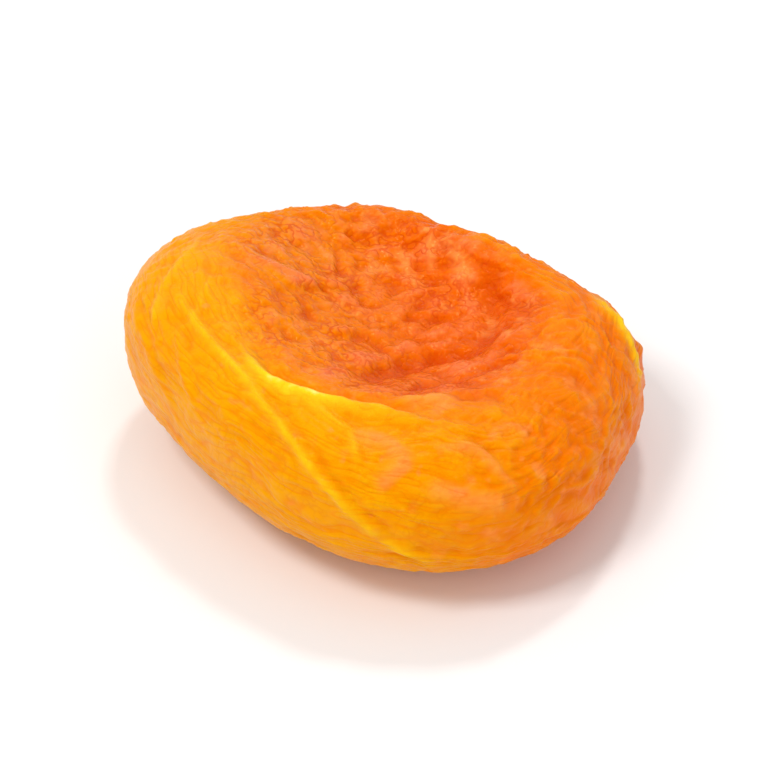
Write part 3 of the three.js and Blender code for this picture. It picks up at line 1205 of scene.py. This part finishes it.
    def plain_colour(self, shader: Shader, marks: Marks) -> Expression:
        """Lays the golden and orange wall, and a hollow that deepens to the right.

        Args:
            shader: holds the nodes.
            marks: masks and noises.

        Returns:
            The colour under all the others.
        """
        wall = shader.mixed(marks.golden, linear(self.orange), linear(self.golden))
        across = shader.add("ShaderNodeSeparateXYZ", {}, {"Vector": marks.place}, "X")
        across = across + self.across_cloud * MM * marks.cloud
        low, high = self.across_edge
        sunken = shader.mixed(across.between(low * MM, high * MM), linear(self.amber), linear(self.deep))
        return shader.mixed(marks.hollow, wall, sunken)

    def patched(self, shader: Shader, marks: Marks, colour: Expression) -> Expression:
        """Paints highlights on the hollow's swellings, and salmon reflections on ridges, patches and specks.

        Args:
            shader: holds the nodes.
            marks: masks and noises.
            colour: what lies under them.

        Returns:
            The colour with them.
        """
        # Painted highlight on the hollow's swellings
        swell_highlight = self.swell_highlight_raised * marks.raised + self.swell_highlight_fleck * marks.fleck - self.swell_highlight_start
        colour = shader.mixed(swell_highlight.clamped() * marks.hollow, colour, linear(self.swell_highlight))
        # Painted salmon reflections on patches, specks and ridges
        patches = shader.noise(marks.place, self.patches).between(*self.patch_edge)
        patches = patches * (1.0 - self.golden_patch * marks.golden)
        specks = shader.noise(marks.place, self.specks).between(*self.speck_edge)
        ridges = (shader.attribute("painted_reflection") * (1.0 + self.ridge_fleck * marks.fleck)).clamped()
        painted_reflection = self.ridge_share * ridges + self.patch_share * patches + self.speck_share * specks
        return shader.mixed(painted_reflection, colour, linear(self.painted_reflection))

    def painted_shade(self, shader: Shader, marks: Marks, colour: Expression) -> Expression:
        """Paints shade into creases, where the flesh is also a deeper red, and into the valleys of fine
        wrinkles and of the wall's long strands.

        Args:
            shader: holds the nodes.
            marks: masks and noises.
            colour: what lies under them.

        Returns:
            The colour with them.
        """
        # Painted shade in the creases, along with the flesh's deeper red there
        creases = self.crease_share * marks.creased * marks.hollow.above(self.crease_wall)
        colour = shader.mixed(creases, colour, linear(self.crease))
        # Painted shade in the valleys of the fine wrinkles that the bump raises
        thin = 1.0 - marks.wrinkles.between(0.0, self.wrinkle_width)
        thin = thin * marks.hollow.above(self.wrinkle_wall) * marks.cloud.between(*self.wrinkle_edge)
        colour = shader.mixed(self.wrinkle_share * thin, colour, linear(self.crease))
        # Painted shade in the valleys of the wall's long strands
        strands = (1.0 - marks.strands.between(0.0, self.strand_width)) * marks.wall
        return shader.mixed(self.strand_share * strands, colour, linear(self.line))

    def highlights_and_scar(self, shader: Shader, marks: Marks, colour: Expression) -> Expression:
        """Paints highlights on raised ridges and along folds, and glints at their brightest spots, and lays
        the scar's colour in its dimple.

        Args:
            shader: holds the nodes.
            marks: masks and noises.
            colour: what lies under them.

        Returns:
            The colour with them.
        """
        # Painted highlights: lighter on the wall's raised wrinkles and along the folds, with painted glints
        # at their brightest spots
        colour = shader.mixed(self.raised_share * marks.raised * marks.wall, colour, linear(self.pale))
        pale = marks.highlighted * (self.ridge_highlight_share + self.pale_fleck * marks.fleck)
        colour = shader.mixed(pale, colour, linear(self.pale))
        glint = (marks.highlighted + self.pale_fleck * marks.fleck).between(*self.glint_edge)
        colour = shader.mixed(self.glint_share * glint, colour, linear(self.glint))
        return shader.mixed(self.scar_share * shader.attribute("scar"), colour, linear(self.scar))

    def material(self) -> bpy.types.Material:
        """Builds the material.

        Golden wall to orange shoulder to deep hollow by the masks on the mesh, each edge broken up by noise;
        painted shade in creases and in the valleys of wrinkles and strands, painted highlights and salmon
        reflections on ridges and swellings; fine wrinkles and grain as bump.

        Returns:
            The finished material.
        """
        shader = Shader("apricot_flesh")
        marks = self.marks(shader)
        colour = self.plain_colour(shader, marks)
        for lay in (self.patched, self.painted_shade, self.highlights_and_scar):
            colour = lay(shader, marks, colour)
        relief = marks.wrinkles * marks.hollow.above(self.bump_wall)
        relief = relief + self.strand_bump * marks.strands * marks.wall
        relief = relief + self.grain_bump * shader.noise(marks.place, self.grain)
        bump = {"Strength": 1.0, "Distance": self.bump * MM, "Height": relief}
        rough = self.roughness + self.wall_rough * marks.wall
        rough = rough + self.fleck_rough * marks.fleck + self.crease_rough * marks.creased
        surface = shader.add("ShaderNodeBsdfPrincipled", {"subsurface_method": "RANDOM_WALK"}, {
            "Base Color": colour,
            "Roughness": rough,
            "Normal": shader.add("ShaderNodeBump", {}, bump),
            "Subsurface Weight": self.glow,
            "Subsurface Radius": self.glow_reach,
            "Subsurface Scale": self.depth_of_glow,
            "Specular IOR Level": self.gloss,
            "Specular Tint": linear(self.sheen),
        })
        return shader.finished(surface)


# The pieces of the scene


@dataclass
class Apricot:
    """The whole fruit as one closed mesh, with its quads counted along the plan and down the wall."""

    body: Body = field(default_factory=Body)
    skin: Skin = field(default_factory=Skin)
    finish: FleshFinish = FleshFinish()
    plan_steps: int = 150
    wall_steps: int = 90

    def mesh(self) -> bpy.types.Mesh:
        """Makes the mesh with its masks.

        Returns:
            The mesh, centred on the plain solid's box and standing on its floor.
        """
        directions, quads = ball_grid(self.plan_steps, self.wall_steps)
        relief = self.skin.relief(directions, self.body)
        points = relief.points * MM
        low, high = (np.array(corner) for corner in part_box(NODE))
        shift = (low + high - points.min(0) - points.max(0)) / 2.0
        shift[2] = low[2] - points[:, 2].min()
        mesh = bpy.data.meshes.new(NODE)
        mesh.from_pydata((points + shift).tolist(), [], quads.tolist())
        mesh.polygons.foreach_set("use_smooth", np.ones(len(quads), dtype=bool))
        for name, mask in relief.masks.items():
            mesh.attributes.new(name, "FLOAT", "POINT").data.foreach_set("value", mask)
        flow = mesh.attributes.new("flow", "FLOAT_VECTOR", "POINT")
        flow.data.foreach_set("vector", relief.strands.ravel())
        mesh.update()
        return mesh

    def build(self) -> bpy.types.Object:
        """Adds the fruit to the scene in place of the plain solid.

        Returns:
            The fruit's object.
        """
        mesh = self.mesh()
        mesh.materials.append(self.finish.material())
        piece = bpy.data.objects.new("apricot_skin", mesh)
        bpy.context.scene.collection.objects.link(piece)
        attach(piece, BODY)
        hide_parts(NODE)
        return piece


class Side(Enum):
    """Where a light stands: degrees of azimuth, from 0 at the camera to 90 at the right, and of elevation."""

    KEY = (-62.0, 60.0)
    FILL = (30.0, 26.0)
    BACK = (172.0, 62.0)


@dataclass(frozen=True)
class Lamp:
    """A square soft light that faces the object: where it stands, its watts, and its edge in metres."""

    side: Side
    power: float
    size: float


@dataclass
class Studio:
    """A pale floor, three soft lights, a white surround and the camera."""

    floor_size: float = 3.0
    floor_colour: Colour = (244, 243, 242)
    floor_roughness: float = 0.9
    surround: float = 0.62
    lens: float = 200.0
    camera_distance: float = 0.343
    camera_elevation: float = 40.0
    aim_right: float = -0.0001
    aim_up: float = 0.00545
    light_distance: float = 0.42
    lamps: tuple[Lamp, ...] = (
        Lamp(Side.KEY, 0.68, 0.12),
        Lamp(Side.FILL, 0.26, 0.25),
        Lamp(Side.BACK, 0.42, 0.05),
    )

    def out(self, azimuth: float, elevation: float) -> Vector:
        """The unit vector from the object towards an azimuth and elevation."""
        turn, rise = math.radians(azimuth), math.radians(elevation)
        return Vector((math.sin(turn) * math.cos(rise), -math.cos(turn) * math.cos(rise), math.sin(rise)))

    def build_floor(self) -> None:
        """Lays the plain floor under the object."""
        half = self.floor_size / 2.0
        corners = [(-half, -half, 0.0), (half, -half, 0.0), (half, half, 0.0), (-half, half, 0.0)]
        mesh = bpy.data.meshes.new("floor")
        mesh.from_pydata(corners, [], [(0, 1, 2, 3)])
        shader = Shader("floor")
        inputs = {"Base Color": linear(self.floor_colour), "Roughness": self.floor_roughness}
        mesh.materials.append(shader.finished(shader.add("ShaderNodeBsdfPrincipled", {}, inputs)))
        floor = bpy.data.objects.new("floor", mesh)
        bpy.context.scene.collection.objects.link(floor)

    def build_light(self, lamp: Lamp) -> None:
        """Hangs one light.

        Args:
            lamp: its side, power and size.
        """
        name = lamp.side.name.lower()
        light = bpy.data.lights.new(name, "AREA")
        light.energy, light.size = lamp.power, lamp.size
        holder = bpy.data.objects.new(name, light)
        away = self.out(*lamp.side.value)
        holder.location = away * self.light_distance
        holder.rotation_euler = away.to_track_quat("Z", "Y").to_euler()
        bpy.context.scene.collection.objects.link(holder)

    def build_surround(self) -> None:
        """Fills the world with even white light."""
        world = bpy.data.worlds.new("surround")
        world.use_nodes = True
        world.node_tree.nodes["Background"].inputs["Color"].default_value = (1.0, 1.0, 1.0, 1.0)
        world.node_tree.nodes["Background"].inputs["Strength"].default_value = self.surround
        bpy.context.scene.world = world
        bpy.context.scene.view_settings.view_transform = "Standard"

    def build_camera(self) -> None:
        """Sets the camera in front, looking down at the fruit."""
        away = self.out(0.0, self.camera_elevation)
        up = self.out(180.0, 90.0 - self.camera_elevation)
        target = Vector((self.aim_right, 0.0, 0.0)) + up * self.aim_up
        lens = bpy.data.cameras.new("camera")
        lens.lens = self.lens
        camera = bpy.data.objects.new("camera", lens)
        camera.location = target + away * self.camera_distance
        camera.rotation_euler = away.to_track_quat("Z", "Y").to_euler()
        bpy.context.scene.collection.objects.link(camera)
        bpy.context.scene.camera = camera

    def build(self) -> None:
        """Builds floor, lights, surround and camera."""
        self.build_floor()
        for lamp in self.lamps:
            self.build_light(lamp)
        self.build_surround()
        self.build_camera()


def main() -> None:
    """Builds the studio and the fruit."""
    logging.basicConfig(level=logging.INFO)
    Studio().build()
    piece = Apricot().build()
    log.info("%s: %d faces", piece.name, len(piece.data.polygons))


if __name__ == "__main__":
    main()
